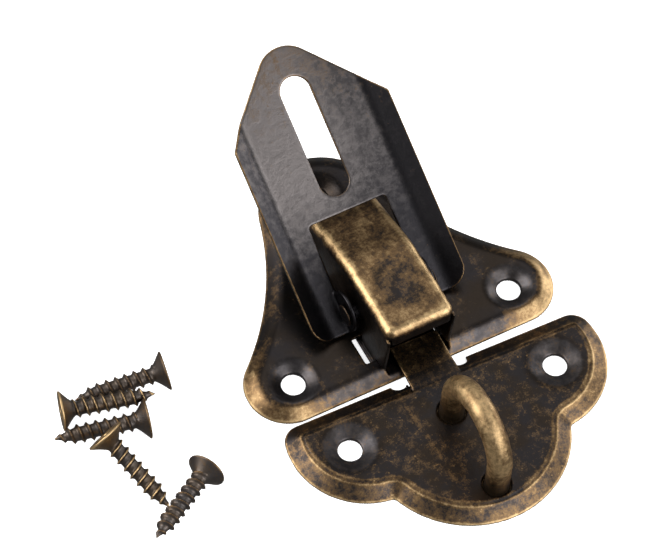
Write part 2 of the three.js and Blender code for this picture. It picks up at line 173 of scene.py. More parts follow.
def staple_outline():
    """Scalloped: two side lobes and a belly under a straight top edge."""
    notch = hollow_centre(STAPLE_BELLY, STAPLE_LOBE, STAPLE_PLATE["cusp"])
    belly = bearing(STAPLE_BELLY, notch)
    lobe = bearing(STAPLE_LOBE, notch)
    corner_r = STAPLE_PLATE["corner"]
    corner = {"y": STAPLE_PLATE["top_edge"] - corner_r}
    rise = corner["y"] - STAPLE_LOBE["y"]
    corner["x"] = STAPLE_LOBE["x"] + math.sqrt((STAPLE_LOBE["r"] - corner_r) ** 2 - rise ** 2)
    turn = bearing(STAPLE_LOBE, corner)
    return mirrored(
        arc(STAPLE_BELLY, STAPLE_BELLY["r"], -90, belly, 30),
        arc(notch, STAPLE_PLATE["cusp"], belly + 180, lobe + 180, 8),
        arc(STAPLE_LOBE, STAPLE_LOBE["r"], lobe, turn, 40),
        arc(corner, corner_r, turn, 90, 16),
    )


def leaf_outline():
    """A long flap with rounded tail corners and a pointed end with a round tip."""
    tip = {"x": 0.0, "y": LEAF["tip_y"]}
    edge = {"x": LEAF["fold_half"], "y": LEAF["fold"]}
    away = math.hypot(edge["x"], edge["y"] - tip["y"])
    touch = bearing(tip, edge) + math.degrees(math.acos(LEAF["tip_r"] / away))
    corner = {"x": LEAF["half"] - LEAF["tail_r"], "y": LEAF["tail"] + LEAF["tail_r"]}
    return mirrored(
        arc(corner, LEAF["tail_r"], -90, 0),
        (LEAF["half"], LEAF["shoulder"]),
        (LEAF["fold_half"], LEAF["fold"]),
        arc(tip, LEAF["tip_r"], touch, 90),
    )


# ---------------------------------------------------------------- distance fields


def outline_distance(outline, x, y):
    """Signed distance to a closed outline, negative inside."""
    nearest = np.full(np.broadcast(x, y).shape, np.inf)
    inside = np.zeros(nearest.shape, bool)
    for (ax, ay), (bx, by) in zip(outline, np.roll(outline, -1, axis=0)):
        ex, ey = bx - ax, by - ay
        length = ex * ex + ey * ey
        if length < 1e-12:
            continue
        along = np.clip(((x - ax) * ex + (y - ay) * ey) / length, 0, 1)
        nearest = np.minimum(nearest, np.hypot(x - ax - along * ex, y - ay - along * ey))
        if ey:
            inside ^= ((ay > y) != (by > y)) & (x < ax + (y - ay) * ex / ey)
    return np.where(inside, -nearest, nearest)


def box_distance(x, y, low, high, corner=0.0):
    """Signed distance to an upright rectangle with rounded corners."""
    dx = np.abs(x - (low[0] + high[0]) / 2) - (high[0] - low[0]) / 2 + corner
    dy = np.abs(y - (low[1] + high[1]) / 2) - (high[1] - low[1]) / 2 + corner
    return np.hypot(np.maximum(dx, 0), np.maximum(dy, 0)) + np.minimum(np.maximum(dx, dy), 0) - corner


def solid_box(x, y, z, low, high, corner=EDGE):
    """Signed distance to a box with rounded edges."""
    gaps = []
    for value, a, b in zip((x, y, z), low, high):
        gaps.append(np.abs(value - (a + b) / 2) - (b - a) / 2 + corner)
    outside = np.sqrt(sum(np.maximum(gap, 0) ** 2 for gap in gaps))
    return outside + np.minimum(np.maximum(np.maximum(gaps[0], gaps[1]), gaps[2]), 0) - corner


def soft_max(a, b, blend):
    """The larger of two values, with a smooth turn where they meet."""
    near = np.maximum(blend - np.abs(a - b), 0) / blend
    return np.maximum(a, b) + near * near * blend / 4


def soft_min(a, b, blend):
    """The smaller of two values, with the same smooth turn."""
    return -soft_max(-a, -b, blend)


def both(a, b, radius=EDGE):
    """What two solids share, its new edge rounded."""
    corner = np.hypot(np.maximum(a + radius, 0), np.maximum(b + radius, 0))
    return np.minimum(np.maximum(a, b), -radius) + corner


def joined(a, b, radius=EDGE):
    """Two solids as one, with a fillet where they meet."""
    corner = np.hypot(np.maximum(radius - a, 0), np.maximum(radius - b, 0))
    return np.maximum(np.minimum(a, b), radius) - corner


def slope_of(height, pitch):
    """How much longer the way up a sloping surface is than its height."""
    gx, gy = np.gradient(height, pitch)
    return np.sqrt(1 + gx * gx + gy * gy)


# ---------------------------------------------------------------- meshes from distance fields


def sample_axes(low, high, pitch):
    """The places along X, Y and Z at which a piece is sampled, shaped to combine."""
    places = [np.arange(a - 3 * pitch, b + 4 * pitch, pitch) for a, b in zip(low, high)]
    return places[0][:, None, None], places[1][None, :, None], places[2][None, None, :]


def surface_net(values, start, pitch):
    """The closed surface where the sampled distance is nought, as vertices and quads."""
    inside = values < 0
    cells = tuple(n - 1 for n in values.shape)
    sides = [(slice(0, -1), slice(1, None))] * 3
    count = np.zeros(cells, np.int8)
    for corner in np.ndindex(2, 2, 2):
        count += inside[tuple(side[i] for side, i in zip(sides, corner))]
    mixed = (count > 0) & (count < 8)
    number = np.full(cells, -1, np.int64)
    number[mixed] = np.arange(mixed.sum())
    total = int(mixed.sum())
    sums = np.zeros((total, 3))
    hits = np.zeros(total)
    quads = []
    for axis in range(3):
        first = np.moveaxis(values, axis, 0)[:-1]
        second = np.moveaxis(values, axis, 0)[1:]
        place = np.argwhere((first < 0) != (second < 0))
        a = first[tuple(place.T)]
        b = second[tuple(place.T)]
        others = [i for i in range(3) if i != axis]
        point = np.zeros((len(place), 3))
        point[:, axis] = place[:, 0] + a / (a - b)
        point[:, others[0]] = place[:, 1]
        point[:, others[1]] = place[:, 2]
        ring = []
        for du, dv in ((0, 0), (1, 0), (1, 1), (0, 1)):
            cell = np.zeros((len(place), 3), np.int64)
            cell[:, axis] = place[:, 0]
            cell[:, others[0]] = place[:, 1] - du
            cell[:, others[1]] = place[:, 2] - dv
            ring.append(number[tuple(cell.T)])
        for index in ring:
            hits += np.bincount(index, minlength=total)
            for k in range(3):
                sums[:, k] += np.bincount(index, weights=point[:, k], minlength=total)
        ring = np.stack(ring, axis=1)
        flip = (a < 0) == (axis == 1)
        ring[flip] = ring[flip][:, ::-1]
        quads.append(ring)
    return start + pitch * sums / hits[:, None], np.concatenate(quads)


def vertex_normals(vertices, quads):
    """Unit normals at the vertices, weighted by the areas of the quads round them."""
    across = vertices[quads[:, 2]] - vertices[quads[:, 0]]
    over = vertices[quads[:, 3]] - vertices[quads[:, 1]]
    face = np.cross(across, over)
    normals = np.zeros(vertices.shape)
    for corner in range(4):
        for k in range(3):
            normals[:, k] += np.bincount(quads[:, corner], weights=face[:, k], minlength=len(vertices))
    return normals / np.maximum(np.linalg.norm(normals, axis=1, keepdims=True), 1e-12)


def convexity(vertices, quads, rings):
    """How sharply the surface bends outwards, in 1/mm, averaged over rings, and its normals."""
    normals = vertex_normals(vertices, quads)
    a = quads.ravel()
    b = np.roll(quads, -1, axis=1).ravel()
    step = vertices[b] - vertices[a]
    bend = ((normals[b] - normals[a]) * step).sum(1) / np.maximum((step * step).sum(1), 1e-9)
    size = len(vertices)
    count = np.bincount(a, minlength=size) + np.bincount(b, minlength=size)
    value = (np.bincount(a, bend, size) + np.bincount(b, bend, size)) / count
    for _ in range(rings):
        value = (np.bincount(a, value[b], size) + np.bincount(b, value[a], size)) / count
    return value, normals


def ramp(value, low, high):
    """0 below low, 1 above high, and a smooth rise between."""
    t = np.clip((value - low) / (high - low), 0, 1)
    return t * t * (3 - 2 * t)


class Piece:
    """The sampled surface of one piece, in its own frame in mm."""

    def __init__(self, values, axes, pitch, rings=3):
        start = [float(axis.ravel()[0]) for axis in axes]
        self.vertices, self.quads = surface_net(values, np.array(start), pitch)
        self.convex, self.normals = convexity(self.vertices, self.quads, rings)

    def object(self, name, place, relief, grey_and_sheen):
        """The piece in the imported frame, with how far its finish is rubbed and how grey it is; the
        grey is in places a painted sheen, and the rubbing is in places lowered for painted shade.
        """
        mesh = bpy.data.meshes.new(name)
        mesh.vertices.add(len(self.vertices))
        mesh.vertices.foreach_set("co", (self.vertices * MM).ravel())
        mesh.loops.add(self.quads.size)
        mesh.loops.foreach_set("vertex_index", self.quads.ravel())
        mesh.polygons.add(len(self.quads))
        mesh.polygons.foreach_set("loop_start", np.arange(0, self.quads.size, 4))
        mesh.update(calc_edges=True)
        mesh.shade_smooth()
        # The second attribute is a grey tone that in places is a painted sheen or painted reflection.
        for label, amount in (("relief", relief), ("grey_and_sheen", grey_and_sheen)):
            layer = mesh.attributes.new(label, "FLOAT", "POINT")
            values = np.broadcast_to(amount, len(self.vertices)).astype(np.float32)
            layer.data.foreach_set("value", values)
        placed = place.copy()
        placed.translation = placed.translation * MM
        mesh.transform(placed)
        made = bpy.data.objects.new(name, mesh)
        bpy.context.scene.collection.objects.link(made)
        return made


def finish_piece(made, body, slot, material, *nodes):
    """Gives a piece its finish and its body, and hides the CAD nodes it stands for."""
    made.data.materials.append(material)
    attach(made, body)
    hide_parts(*nodes)


# ---------------------------------------------------------------- the stamped plates

OPEN = 9.0                       # a distance too great to cut anything
BASE_HOLES = [(-BASE["hole_x"], 0), (BASE["hole_x"], 0), (0, BASE["top_hole_y"])]
BASE_PITCH = 0.17                # how far apart a piece's distances are sampled
STAPLE_PLATE_PITCH = 0.16
STAPLE_PLATE_FRONT = -19.6       # where its sampling starts, just ahead of the belly
BEVEL_LIFT = 1.06                # makes up for what the soft turn at a bevel's top takes off
CHANNEL_WALL = 2.6               # climb of the channel's side walls
WORN_BEND = (0.12, 0.9)          # how sharply, in 1/mm, an edge bends as it starts to be rubbed
RIM_WEAR = (-0.45, -0.1)         # where the rubbed line along a plate's rim starts and ends


def dimple_height(distance, radius):
    """The height of a screw dimple's cone, by the distance from its hole's centre."""
    climb = DIMPLE_DEPTH / (radius - SCREW_HOLE)
    return PLATE_HEIGHT - DIMPLE_DEPTH + (distance - SCREW_HOLE) * climb


def bevel_height(inside, bevel, turn):
    """The height of a plate's bevelled edge, by the distance in from its outline."""
    climb = (PLATE_HEIGHT - RIM) / bevel
    return soft_min(RIM + inside * climb * BEVEL_LIFT, np.full_like(inside, PLATE_HEIGHT), turn)


def pan_field(z, height, inside, pitch):
    """A stamped plate of one sheet's thickness, with its rim turned down to the wood."""
    slope = slope_of(height[:, :, 0], pitch)[:, :, None]
    above = (z - height) / slope
    hollow = both(above + SHEET, RIM + EDGE - inside, 0.1)
    solid = both(both(above, -inside), -z)
    return np.maximum(solid, -hollow)


def slit_distance(x, y, side, start):
    """Distance to one of the slits that take the housing's tabs."""
    ends = sorted((side * SLIT["inner"], side * SLIT["outer"]))
    return box_distance(x, y, (ends[0], start), (ends[1], start + SLIT["length"]), 0.25)


def base_plate_field(x, y, z):
    """The bell-shaped pan with its channel, dimples, holes and slits."""
    inside = -outline_distance(base_outline(), x, y)
    height = bevel_height(inside, BASE["bevel"], 0.9)
    left = CHANNEL["x"] - CHANNEL["half_width"]
    right = CHANNEL["x"] + CHANNEL["half_width"]
    ahead = 2 * BASE_FRONT
    trough = box_distance(x, y, (left, ahead), (right, CHANNEL["back"]), 0.4)
    height = soft_min(height, CHANNEL["floor"] + np.maximum(trough, 0) * CHANNEL_WALL, 0.35)
    cut = np.full(inside.shape, OPEN)
    for hole_x, hole_y in BASE_HOLES:
        distance = np.hypot(x - hole_x, y - hole_y)
        height = soft_min(height, dimple_height(distance, BASE["dimple"]), 0.45)
        cut = np.minimum(cut, distance - SCREW_HOLE)
    for side in (-1, 1):
        for start in (SLIT["front"], SLIT["rear"]):
            cut = np.minimum(cut, slit_distance(x, y, side, start))
    return both(pan_field(z, height, inside, BASE_PITCH), -cut)


def base_plate_finish(piece):
    """Brass on the rim and the end lobes; a painted grey sheen, standing for reflected light, on the
    front bevel and in the front dimples; painted shadow in the rear dimple under the leaf.
    """
    px, py = piece.vertices[:, 0], piece.vertices[:, 1]
    inward = -outline_distance(base_outline(), px, py)
    bevel = ramp(-inward, -3.0, -1.4)
    lobes = ramp(np.abs(px), 12.5, 19.0) * ramp(-py, -10.0, -2.0)
    lobes = lobes * (0.72 + 0.28 * ramp(px, 0.0, 10.0))
    relief = 0.2 * ramp(piece.convex, *WORN_BEND) + bevel * (0.12 + 0.68 * lobes)
    relief += 0.35 * ramp(-inward, *RIM_WEAR)
    # The grey on the front bevel is a painted reflection of the front light.
    grey_and_sheen = 0.35 * bevel * ramp(-py, 2.0, 4.5)
    for hole_x, hole_y in BASE_HOLES:
        sunk = ramp(-np.hypot(px - hole_x, py - hole_y), -4.2, -3.3)
        # The rear dimple loses extra brass as painted shadow under the leaf.
        relief -= sunk * (0.75 * (relief - 0.05) + 0.1 * (hole_y > 0))
        # The front dimples get a painted grey sheen.
        grey_and_sheen += 0.4 * sunk * (1 - grey_and_sheen) * (hole_y == 0)
    upward = ramp(piece.normals[:, 2], -0.1, 0.3)
    return relief * upward, grey_and_sheen


def base_plate():
    reach = BASE_LOBE["x"] + BASE_LOBE["r"]
    rear = BASE_CROWN["y"] + BASE_CROWN["r"]
    axes = sample_axes((-reach, BASE_FRONT, 0), (reach, rear, PLATE_HEIGHT), BASE_PITCH)
    piece = Piece(base_plate_field(*axes), axes, BASE_PITCH)
    made = piece.object("base_plate_stamped", TO_FRAME, *base_plate_finish(piece))
    finish_piece(made, "hasp_base", "plate_bronze", MATERIALS["plate"], "base_plate")


def staple_feet():
    """The staple's feet in the staple plate's own frame."""
    turn = Matrix.Rotation(math.radians(-STAPLE_PLATE["turn"]), 2)
    offset = Vector((STAPLE_PLATE["x"], STAPLE_PLATE["y"]))
    return [turn @ (Vector((STAPLE["x"], y)) - offset) for y in (STAPLE["near"], STAPLE["far"])]


def staple_plate_cuts(x, y):
    """Distance to the nearest hole or notch that goes right through the staple plate."""
    cut = np.full(np.broadcast(x, y).shape, OPEN)
    for side in (-1, 1):
        distance = np.hypot(x - side * STAPLE_PLATE["hole_x"], y)
        cut = np.minimum(cut, distance - SCREW_HOLE)
        notch_x = TONGUE["x"] + side * (TONGUE["half_width"] + TONGUE["relief"])
        notch_y = np.maximum(STAPLE_PLATE["top_edge"] - TONGUE["root"] - y, 0)
        cut = np.minimum(cut, np.hypot(x - notch_x, notch_y) - TONGUE["relief"])
    for foot in staple_feet():
        cut = np.minimum(cut, np.hypot(x - foot.x, y - foot.y) - STAPLE["hole"])
    return cut


def staple_plate_field(x, y, z):
    """The scalloped pan with its beads and dimples, and the tongue that leaves it level."""
    inside = -outline_distance(staple_outline(), x, y)
    height = bevel_height(inside, STAPLE_PLATE["bevel"], 0.5)
    for line in BEADS:
        height = height + BEAD_RISE * np.exp(-((inside - line) / BEAD_WIDTH) ** 2)
    for side in (-1, 1):
        distance = np.hypot(x - side * STAPLE_PLATE["hole_x"], y)
        height = soft_min(height, dimple_height(distance, STAPLE_PLATE["dimple"]), 0.5)
    left = TONGUE["x"] - TONGUE["half_width"]
    right = TONGUE["x"] + TONGUE["half_width"]
    root = STAPLE_PLATE["top_edge"] - STAPLE_PLATE["bevel"]
    underside = PLATE_HEIGHT - SHEET
    gap = box_distance(x, y, (left, root), (right, STAPLE_PLATE["top_edge"] + 1))
    field = pan_field(z, height, inside, STAPLE_PLATE_PITCH)
    field = np.maximum(field, -np.maximum(gap, z - underside))
    low = (left, root - 1, underside)
    high = (right, TONGUE["reach"], PLATE_HEIGHT)
    field = joined(field, solid_box(x, y, z, low, high, TONGUE["edge"]), 0.08)
    return both(field, -staple_plate_cuts(x, y))


def staple_plate_finish(piece):
    """Brass on the rim, the beads and the lower bevel; a painted grey sheen on the lower bevel and in
    the dimples; painted shade round the staple's feet.
    """
    px, py = piece.vertices[:, 0], piece.vertices[:, 1]
    inward = -outline_distance(staple_outline(), px, py)
    bevel = ramp(-inward, -3.2, -2.6) * ramp(inward, -0.5, 0.0)
    lower = ramp(-py, -6.0, 1.0)
    relief = 0.1 + 0.25 * ramp(piece.convex, 0.15, 0.9)
    relief += bevel * (0.24 * lower + 0.1 * ramp(px, 10.0, 20.0))
    for line in BEADS:
        relief += 0.3 * np.exp(-((inward - line) / BEAD_WIDTH) ** 2) * (0.4 + 0.6 * lower)
    relief += 0.3 * ramp(-inward, *RIM_WEAR)
    # The grey on the lower bevel is a painted reflection.
    grey_and_sheen = 0.3 * bevel * lower
    for side in (-1, 1):
        sunk = ramp(-np.hypot(px - side * STAPLE_PLATE["hole_x"], py), -4.5, -3.6)
        relief -= 0.75 * sunk * (relief - 0.05)
        # A painted grey sheen in the dimples.
        grey_and_sheen += 0.45 * sunk * (1 - grey_and_sheen)
    # Less brass round the staple's feet: painted shade.
    for foot in staple_feet():
        relief -= 0.3 * ramp(-np.hypot(px - foot.x, py - foot.y), -4.6, -2.3)
    upward = ramp(piece.normals[:, 2], -0.1, 0.3)
    return relief * upward, grey_and_sheen


def staple_plate():
    reach = STAPLE_LOBE["x"] + STAPLE_LOBE["r"]
    low = (-reach, STAPLE_PLATE_FRONT, 0)
    axes = sample_axes(low, (reach, TONGUE["reach"], PLATE_HEIGHT), STAPLE_PLATE_PITCH)
    piece = Piece(staple_plate_field(*axes), axes, STAPLE_PLATE_PITCH)
    turn = Matrix.Rotation(math.radians(STAPLE_PLATE["turn"]), 4, "Z")
    place = TO_FRAME @ Matrix.Translation((STAPLE_PLATE["x"], STAPLE_PLATE["y"], 0)) @ turn
    made = piece.object("staple_plate_stamped", place, *staple_plate_finish(piece))
    finish_piece(made, "staple_half", "plate_bronze", MATERIALS["scalloped"], "staple_plate")


# ---------------------------------------------------------------- the housing

HOUSING_PITCH = 0.15
LIP_END = HOUSING["top"] - HOUSING["lip"]
RAMP_FALL = (HOUSING["top"] - HOUSING["back_top"]) / (HOUSING["back"] - HOUSING["kink"])


def housing_shell(x, y, z):
    """The folded sheet's outer surface: a flat top, a ramp, two walls and a front, well rounded."""
    radius = HOUSING["radius"]
    fall = math.atan(RAMP_FALL)
    level = z - HOUSING["top"] + 0 * y
    ramped = (z - HOUSING["top"]) * math.cos(fall) + (y - HOUSING["kink"]) * math.sin(fall)
    top = soft_max(level, ramped, 0.5) + radius + 0 * x
    wall = np.abs(x) - HOUSING["half_width"] + radius + 0 * (y + z)
    front = HOUSING["front"] - y + radius + 0 * (x + z)
    outside = np.sqrt(sum(np.maximum(gap, 0) ** 2 for gap in (top, wall, front)))
    return outside + np.minimum(np.maximum(np.maximum(top, wall), front), 0) - radius


def with_cheek(field, x, y, z, side):
    """Adds a wall's square front end below the lip, and opens the seam between wall and lip."""
    inner = side * (HOUSING["half_width"] - SHEET)
    wall = sorted((inner, side * HOUSING["half_width"]))
    lean = HOUSING["lean"] * np.maximum(LIP_END - z, 0) * (y < 0)
    low = (wall[0], HOUSING["front"], 0)
    high = (wall[1], 0, LIP_END + 2 * SHEET)
    field = joined(field, solid_box(x, y - lean, z, low, high), 0.04)
    seam = HOUSING["seam"] / 2
    low = (inner - seam, HOUSING["front"] - 1, LIP_END - 1)
    high = (inner + seam, HOUSING["front"] + HOUSING["seam_depth"], HOUSING["seam_top"])
    return np.maximum(field, -solid_box(x, y, z, low, high, 0.02))


def with_tab(field, x, y, z, side, start):
    """Adds one tab, with its foot and heel turned out under the base plate."""
    inner = side * (HOUSING["half_width"] - SHEET)
    outside = side * HOUSING["half_width"]
    toe = outside + side * TAB["foot"]
    bottom = TAB["bottom"]
    end = start + TAB["length"]
    spans = (
        (inner, outside, end, HOUSING["foot"] + 1, 0.05),
        (inner, toe, end, bottom + SHEET, EDGE),
        (toe - side * TAB["heel_width"], toe, end + TAB["heel"], bottom + SHEET, EDGE),
    )
    for first, second, rear, top, edge in spans:
        low, high = sorted((first, second))
        part = solid_box(x, y, z, (low, start, bottom), (high, rear, top), edge)
        field = np.minimum(field, part)
    return field


def housing_field(x, y, z):
    """The folded shell with its mouth and seams, its tabs and the hinge pin's bore."""
    outer = housing_shell(x, y, z)
    field = both(outer, -(outer + SHEET), 0.05)
    behind = y - (HOUSING["front"] + HOUSING["radius"] + SHEET)
    field = both(field, -(np.maximum(behind, z - LIP_END) + 0 * x))
    field = both(field, y - HOUSING["back"] + 0 * (x + z))
    for side in (-1, 1):
        field = with_cheek(field, x, y, z, side)
    field = np.maximum(field, HOUSING["foot"] - z)
    slack = (SLIT["length"] - TAB["length"]) / 2
    for side in (-1, 1):
        for start in (SLIT["front"] + slack, SLIT["rear"] + slack):
            field = with_tab(field, x, y, z, side, start)
    bore = np.hypot(y - PIN["y"], z - PIN["z"]) - PIN["r"] - RUNNING
    return both(field, -bore + 0 * x)


def housing_finish(piece):
    """Bright folds and a brassy top with a darker middle; dark walls, lip and tabs."""
    px, py, pz = piece.vertices.T
    level = ramp(piece.normals[:, 2], 0.35, 0.9)
    drop = HOUSING["top"] - RAMP_FALL * np.maximum(py - HOUSING["kink"], 0) - pz
    fold = ramp(piece.convex, 0.08, 0.45) * ramp(-drop, -1.5, -0.7)
    middle = ramp(-np.hypot(px / 4.8, (py - 2.6) / 6.0), -1.0, -0.3)
    relief = 0.5 * fold + 0.5 * level - 0.3 * middle * level
    return relief * ramp(pz, 1.2, 2.6)


def housing():
    reach = HOUSING["half_width"] + TAB["foot"]
    low = (-reach, HOUSING["front"], TAB["bottom"])
    axes = sample_axes(low, (reach, HOUSING["back"], HOUSING["top"]), HOUSING_PITCH)
    piece = Piece(housing_field(*axes), axes, HOUSING_PITCH, rings=4)
    made = piece.object("housing_folded", TO_FRAME, housing_finish(piece), 0.1)
    finish_piece(made, "hasp_base", "rubbed_brass", MATERIALS["brass"], "housing")


# ---------------------------------------------------------------- the leaf and its pin

LEAF_PITCH = 0.17
PIN_PITCH = 0.1


def leaf_plan(x, y):
    """Distance to the leaf's outline in plan, with its slot and its window cut."""
    slot = np.hypot(x, y - np.clip(y, LEAF["slot_near"], LEAF["slot_far"])) - LEAF["slot_r"]
    half = LEAF["window_half"]
    ahead = LEAF["tail"] - 4
    window = box_distance(x, y, (-half, ahead), (half, LEAF["window"]), LEAF["corner"])
    return np.maximum(outline_distance(leaf_outline(), x, y), np.maximum(-slot, -window))


def leaf_field(x, y, z):
    """The leaf in its own frame: the pin's axis is X, and Y runs along the leaf to its tip."""
    climb = LEAF["rise"] / (LEAF["half"] - LEAF["fold_half"])
    rise = (np.abs(x) - LEAF["fold_half"]) * climb
    upper = LEAF["plane"] + soft_max(rise, np.zeros_like(x), 0.5)
    slope = np.sqrt(1 + np.gradient(upper[:, 0, 0], LEAF_PITCH) ** 2)[:, None, None]
    above = (z - upper) / slope
    field = both(np.maximum(above, -above - SHEET), leaf_plan(x, y) + 0 * z)
    round_top = np.hypot(y - EAR["y"], z - EAR["z"])
    arch = np.where(z > EAR["z"], round_top, np.abs(y - EAR["y"])) - EAR["r"]
    arch = np.maximum(arch, LEAF["plane"] - SHEET + 0.05 - z)
    for side in (-1, 1):
        middle = side * (EAR["inner"] + SHEET / 2)
        ear = both(np.abs(x - middle) - SHEET / 2, arch)
        field = joined(field, ear, 0.3)
    bore = np.maximum(np.hypot(y, z) - PIN["r"] - RUNNING, np.abs(x) - LEAF["fold_half"])
    return both(field, -bore)


def leaf_finish(piece):
    """Bright cut edges and a rubbed tip; a painted grey sheen that stands for light on the flat and
    fades to painted shade at the tail and the flanges; painted shade on the ears' edges.
    """
    px, py = piece.vertices[:, 0], piece.vertices[:, 1]
    tip = ramp(py, 20.0, 38.0)
    cut_edge = ramp(piece.convex, 0.9, 2.2)
    # The ears' cut edges get no brass: painted shade where they stand beside the housing wall.
    painted_ear_shade = ramp(-np.abs(px), -8.0, -7.2) * ramp(-py, -4.6, -3.8)
    window_edge = ramp(-np.hypot(px, py - LEAF["window"]), -8.2, -6.2) * ramp(-py, -15.0, -14.2)
    relief = 0.62 * cut_edge * (1 - painted_ear_shade) + 0.3 * tip - 0.08 - 0.6 * window_edge
    # The grey tone is a painted sheen, lightest towards the tip and the left, with painted shade on the
    # tail and the flanges, the right flange darkest.
    grey_and_sheen = ramp(py, 3.0, 25.0) * (1 - 0.6 * ramp(px, -4.0, 8.0))
    grey_and_sheen = grey_and_sheen * (1 - ramp(px, 9.0, 10.3)) * (1 - 0.75 * ramp(-px, 9.0, 10.3))
    return relief, grey_and_sheen


def leaf():
    low = (-LEAF["half"], LEAF["tail"], LEAF["plane"] - SHEET)
    high = (LEAF["half"], LEAF["tip_y"] + LEAF["tip_r"], EAR["z"] + EAR["r"])
    axes = sample_axes(low, high, LEAF_PITCH)
    piece = Piece(leaf_field(*axes), axes, LEAF_PITCH, rings=1)
    tilt = Matrix.Rotation(math.radians(LEAF["tilt"]), 4, "X")
    place = TO_FRAME @ Matrix.Translation((PIN["x"], PIN["y"], PIN["z"])) @ tilt
    made = piece.object("leaf_folded", place, *leaf_finish(piece))
    finish_piece(made, "hasp_leaf", "dark_bronze", MATERIALS["dark"], "leaf")


def hinge_pin():
    reach = PIN["half_length"] + PIN["head"]
    head_r = PIN["head_r"]
    x, y, z = axes = sample_axes((-reach, -head_r, -head_r), (reach, head_r, head_r), PIN_PITCH)
    radial = np.hypot(y, z)
    shank = both(radial - PIN["r"] + 0 * x, np.abs(x) - PIN["half_length"] + 0 * radial)
    dome = reach - 0.3 * (radial / head_r) ** 2
    head = np.maximum(np.abs(x) - dome, PIN["half_length"] - np.abs(x))
    head = both(head, radial - head_r + 0 * x)
    piece = Piece(joined(shank, head), axes, PIN_PITCH)
    relief = 0.05 + 0.2 * ramp(piece.convex, 0.5, 2.0)
    place = TO_FRAME @ Matrix.Translation((PIN["x"], PIN["y"], PIN["z"]))
    made = piece.object("hinge_pin_headed", place, relief, 0.0)
    finish_piece(made, "hasp_base", "dark_bronze", MATERIALS["dark"], "hinge_pin")


# ---------------------------------------------------------------- the staple and screws


STAPLE_PITCH = 0.15
SCREW_PITCH = 0.1
HEAD_SLOPE = 0.72                # turns distances square to the axis into ones square to the head
THREAD_SLOPE = 0.75              # and to the thread
# Each screw's turn about its own axis in degrees, and how far its finish is rubbed through.
SCREW_LOOKS = {
    "screw_1": (20, 0.1), "screw_2": (8, 0.6), "screw_3": (70, 0.15), "screw_4": (35, 1.0),
    "screw_5": (110, 0.1),
}


def staple():
    radius = (STAPLE["near"] - STAPLE["far"]) / 2
    middle = (STAPLE["near"] + STAPLE["far"]) / 2
    wide = STAPLE["rivet"]
    bottom = STAPLE["bottom"] - 0.1
    low = (-wide, -radius - wide, bottom)
    high = (wide, radius + wide, STAPLE["arc_z"] + radius + STAPLE["wire"])
    x, y, z = axes = sample_axes(low, high, STAPLE_PITCH)
    bow = np.abs(np.hypot(y, np.maximum(z - STAPLE["arc_z"], 0)) - radius)
    wire = np.hypot(x, bow) - STAPLE["wire"]
    field = both(wire, STAPLE["bottom"] - z + 0 * (x + y))
    for side in (-1, 1):
        flange = np.hypot(x, y - side * radius) - STAPLE["rivet"]
        top = z - (bottom + STAPLE["rivet_height"])
        rivet = both(np.maximum(top, bottom - z) + 0 * flange, flange + 0 * z)
        field = joined(field, rivet, 0.1)
    piece = Piece(field, axes, STAPLE_PITCH)
    px, pz = piece.vertices[:, 0], piece.vertices[:, 2]
    # Less brass towards the feet, partly wear on the crown and partly painted shade near the plate;
    # less on the +X side, painted shade on the side away from the lights.
    relief = 0.82 - 0.6 * ramp(-pz, -8.0, -2.5) - 0.2 * ramp(px, 0.0, 1.4)
    place = TO_FRAME @ Matrix.Translation((STAPLE["x"], middle, 0))
    made = piece.object("staple_wire", place, relief, 0.2)
    finish_piece(made, "staple_half", "rubbed_brass", MATERIALS["wire"], "staple")


def screw_recess(x, y, radial, below):
    """The cross recess in a screw's face: two tapering arms and a round middle."""
    reach = RECESS["arm"] - RECESS["arm_draft"] * below
    half_width = RECESS["half_width"] - RECESS["width_draft"] * below
    arms = OPEN
    for across, along in ((x, y), (y, x)):
        arms = np.minimum(arms, np.maximum(np.abs(along) - reach, np.abs(across) - half_width))
    centre = radial - (RECESS["centre"] - RECESS["centre_draft"] * below)
    return np.maximum(np.minimum(arms, centre), below - RECESS["depth"])


def screw_piece():
    """A countersunk wood screw with a cross recess: the head's face at the origin, tip along -Z."""
    wide = SCREW["head_r"]
    x, y, z = axes = sample_axes((-wide, -wide, -SCREW["length"]), (wide, wide, 0), SCREW_PITCH)
    radial = np.hypot(x, y)
    below = -z
    to_tip = SCREW["length"] - below
    flare = np.clip((SCREW["head"] - below) / (SCREW["head"] - SCREW["rim"]), 0, 1)
    flare = flare ** SCREW["flare"]
    cone = radial - (SCREW["core"] + (SCREW["head_r"] - SCREW["core"]) * flare)
    head = both(cone * HEAD_SLOPE, -below + 0 * radial, 0.08)
    head = both(head, below - SCREW["head"] + 0 * radial)
    core = SCREW["core"] * np.clip(to_tip / SCREW["point"], 0, 1) ** SCREW["taper"]
    turn = (z / SCREW["pitch"] - np.arctan2(y, x) / (2 * math.pi)) % 1.0
    crest = np.clip(1 - np.abs(turn - 0.5) / SCREW["flank"], 0, 1) ** SCREW["sharpness"]
    tooth = (SCREW["crest"] - SCREW["core"]) * np.clip(to_tip / SCREW["run_out"], 0, 1)
    shank = (radial - core - tooth * crest) * THREAD_SLOPE
    start = SCREW["head"] * SCREW["thread_top"]
    shank = np.maximum(shank, np.maximum(start - below, -to_tip))
    recess = screw_recess(x, y, radial, below)
    return Piece(both(np.minimum(head, shank), -recess, 0.06), axes, SCREW_PITCH, rings=2)


def lie_of(node):
    """Where a CAD screw's head face is and which way its axis points, from its own mesh."""
    points = np.array([vertex.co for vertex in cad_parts[node].data.vertices]) / MM
    middle = points.mean(axis=0)
    axis = np.linalg.svd(points - middle, full_matrices=False)[2][0]
    along = (points - middle) @ axis
    off_axis = np.linalg.norm(points - middle - np.outer(along, axis), axis=1)
    if along[np.argmax(off_axis)] < 0:
        axis = -axis
        along = -along
    return Vector(middle + axis * along.max()), Vector(axis)


